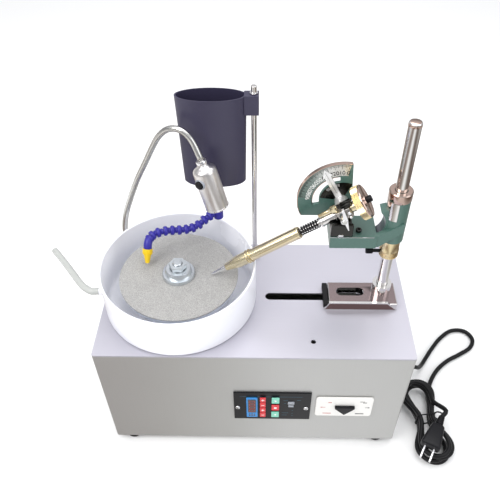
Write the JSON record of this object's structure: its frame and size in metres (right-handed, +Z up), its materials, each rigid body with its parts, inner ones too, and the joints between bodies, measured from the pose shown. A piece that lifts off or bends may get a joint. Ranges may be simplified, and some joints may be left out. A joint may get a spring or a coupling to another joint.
{
  "type": "faceting machine",
  "caption": "Bench faceting machine with a covered case, spinning lap in a splash bowl, mast with angle head and quill, drip tank, lamp and control panel.",
  "frame": {"origin": "centre of the machine's footprint at table level, leaving out the mains lead and drain hose", "axes": "+Z up, +X to the operator's right, -Y towards the operator"},
  "size_m": [0.6452, 0.2476, 0.464],
  "materials": {
    "stainless_case": "brushed, vertical grain",
    "top_plate": "satin",
    "rubber": "matte",
    "black_plastic": "fine texture",
    "motor_steel": "satin",
    "circuit_board": "solder mask",
    "bezel_blue": "glossy",
    "key_red": "satin",
    "key_green": "satin",
    "switch_white": "satin",
    "bowl_white": "satin",
    "clear_tube": "clear flexible",
    "chrome": "polished",
    "zinc": "bright zinc plate",
    "platen_alloy": "turned",
    "diamond_grit": "fine grit coating",
    "lens": "clear",
    "tank_blue": "moulded",
    "hose_blue": "moulded",
    "nozzle_yellow": "moulded",
    "brass": "turned, polished",
    "green_casting": "satin paint",
    "blued_steel": "oiled",
    "pointer_white": "bright",
    "spring_black": "oiled"
  },
  "bodies": {
    "case": {"case_shell": "stainless_case", "rear_panel": "stainless_case", "base_plate": "stainless_case", "top_plate": "top_plate", "foot_front_left": "rubber", "foot_rear_left": "rubber", "foot_front_right": "rubber", "foot_rear_right": "rubber", "motor_body": "motor_steel", "control_board": "circuit_board", "panel_plate": "black_plastic", "display_bezel": "bezel_blue", "switch_plate": "switch_white", "splash_bowl": "bowl_white", "drain_hose": "clear_tube", "lamp_socket": "chrome", "bucket_rod": "chrome", "cable_gland": "black_plastic", "power_cord": "rubber", "cord_hank": "rubber", "plug": "black_plastic"},
    "lap": {"spindle_shaft": "zinc", "platen": "platen_alloy", "lap_disc": "diamond_grit", "clamp_washer": "zinc", "lap_nut": "zinc"},
    "selector": {"selector_knob": "black_plastic"},
    "lamp": {"gooseneck": "chrome", "lamp_head": "chrome", "lamp_lens": "lens"},
    "lamp_switch": {"lamp_button": "rubber"},
    "tank": {"water_bucket": "tank_blue", "outlet_fitting": "clear_tube"},
    "hose": {"coolant_hose": "hose_blue", "hose_nozzle": "nozzle_yellow"},
    "base": {"slide_base": "chrome", "base_end_pad": "rubber", "mast_post": "chrome"},
    "carriage": {"height_collar": "brass"},
    "thumbscrew": {"collar_thumbscrew": "black_plastic"},
    "arm": {"arm_casting": "green_casting", "head_block": "blued_steel", "quadrant": "green_casting"},
    "lock": {"lock_lever": "chrome"},
    "tilt": {"swing_block": "blued_steel", "angle_pointer": "pointer_white"},
    "index": {"index_wheel": "brass", "index_knob": "black_plastic", "quill_shaft": "chrome"},
    "barrel": {"quill_barrel": "brass", "dop_chuck": "brass", "dop_stick": "chrome", "quill_spring": "spring_black"},
    "key_red_1": {"key_red_1": "key_red"},
    "key_red_2": {"key_red_2": "key_red"},
    "key_red_3": {"key_red_3": "key_red"},
    "key_red_4": {"key_red_4": "key_red"},
    "key_start": {"key_start": "key_green"},
    "key_stop": {"key_stop": "key_red"},
    "key_reverse": {"key_reverse": "key_green"}
  },
  "joints": [
    {"name": "lap_spin", "type": "hinge", "parent": "case", "child": "lap", "pos_m": [-0.09203, 0.00405, 0.24], "axis": [0, 0, 1], "continuous": true},
    {"name": "base_slide", "type": "slide", "parent": "case", "child": "base", "axis": [1, 0, 0], "range_m": [-0.012, 0.006]},
    {"name": "height_slide", "type": "slide", "parent": "base", "child": "carriage", "axis": [0, 0, 1], "range_m": [0, 0.08]},
    {"name": "thumbscrew_turn", "type": "hinge", "parent": "carriage", "child": "thumbscrew", "pos_m": [0.14547, 0.00355, 0.285], "axis": [1, 0, 0], "range_deg": [-180, 180]},
    {"name": "arm_swing", "type": "hinge", "parent": "carriage", "child": "arm", "pos_m": [0.16547, 0.00355, 0.34], "axis": [0, 0, 1], "range_deg": [-10, 10]},
    {"name": "lock_turn", "type": "hinge", "parent": "arm", "child": "lock", "pos_m": [0.10447, 0.00355, 0.3465], "axis": [0, 1, 0], "range_deg": [0, 60]},
    {"name": "angle_tilt", "type": "hinge", "parent": "arm", "child": "tilt", "pos_m": [0.10447, 0.00355, 0.3465], "axis": [0, 1, 0], "range_deg": [0, 42]},
    {"name": "index_turn", "type": "hinge", "parent": "tilt", "child": "index", "pos_m": [0.10447, 0.00355, 0.3465], "axis": [-0.8269, 0, -0.5624], "continuous": true},
    {"name": "barrel_slide", "type": "slide", "parent": "index", "child": "barrel", "axis": [0.8269, 0, 0.5624], "range_m": [0, 0.006], "stiffness_N_per_m": 600, "springref_m": -0.004, "deforming": ["quill_spring"]},
    {"name": "selector_turn", "type": "hinge", "parent": "case", "child": "selector", "pos_m": [0.12197, -0.09705, 0.0975], "axis": [0, 1, 0], "range_deg": [-45, 45]},
    {"name": "lamp_swivel", "type": "hinge", "parent": "case", "child": "lamp", "pos_m": [-0.17353, 0.08355, 0.205], "axis": [0, 0, 1], "range_deg": [-30, 0]},
    {"name": "lamp_press", "type": "slide", "parent": "lamp", "child": "lamp_switch", "axis": [0.5462, 0.8373, 0.0231], "range_m": [0, 0.001], "stiffness_N_per_m": 400, "springref_m": -0.001},
    {"name": "tank_swivel", "type": "hinge", "parent": "case", "child": "tank", "pos_m": [0.00297, 0.07855, 0.44], "axis": [0, 0, 1], "range_deg": [-6, 6]},
    {"name": "hose_turn", "type": "hinge", "parent": "tank", "child": "hose", "pos_m": [-0.04453, 0.07855, 0.279], "axis": [0, 0, 1], "range_deg": [-10, 10]},
    {"name": "key_red_1_press", "type": "slide", "parent": "case", "child": "key_red_1", "axis": [0, 1, 0], "range_m": [0, 0.0008], "stiffness_N_per_m": 300, "springref_m": -0.001},
    {"name": "key_red_2_press", "type": "slide", "parent": "case", "child": "key_red_2", "axis": [0, 1, 0], "range_m": [0, 0.0008], "stiffness_N_per_m": 300, "springref_m": -0.001},
    {"name": "key_red_3_press", "type": "slide", "parent": "case", "child": "key_red_3", "axis": [0, 1, 0], "range_m": [0, 0.0008], "stiffness_N_per_m": 300, "springref_m": -0.001},
    {"name": "key_red_4_press", "type": "slide", "parent": "case", "child": "key_red_4", "axis": [0, 1, 0], "range_m": [0, 0.0008], "stiffness_N_per_m": 300, "springref_m": -0.001},
    {"name": "key_start_press", "type": "slide", "parent": "case", "child": "key_start", "axis": [0, 1, 0], "range_m": [0, 0.0008], "stiffness_N_per_m": 300, "springref_m": -0.001},
    {"name": "key_stop_press", "type": "slide", "parent": "case", "child": "key_stop", "axis": [0, 1, 0], "range_m": [0, 0.0008], "stiffness_N_per_m": 300, "springref_m": -0.001},
    {"name": "key_reverse_press", "type": "slide", "parent": "case", "child": "key_reverse", "axis": [0, 1, 0], "range_m": [0, 0.0008], "stiffness_N_per_m": 300, "springref_m": -0.001}
  ]
}
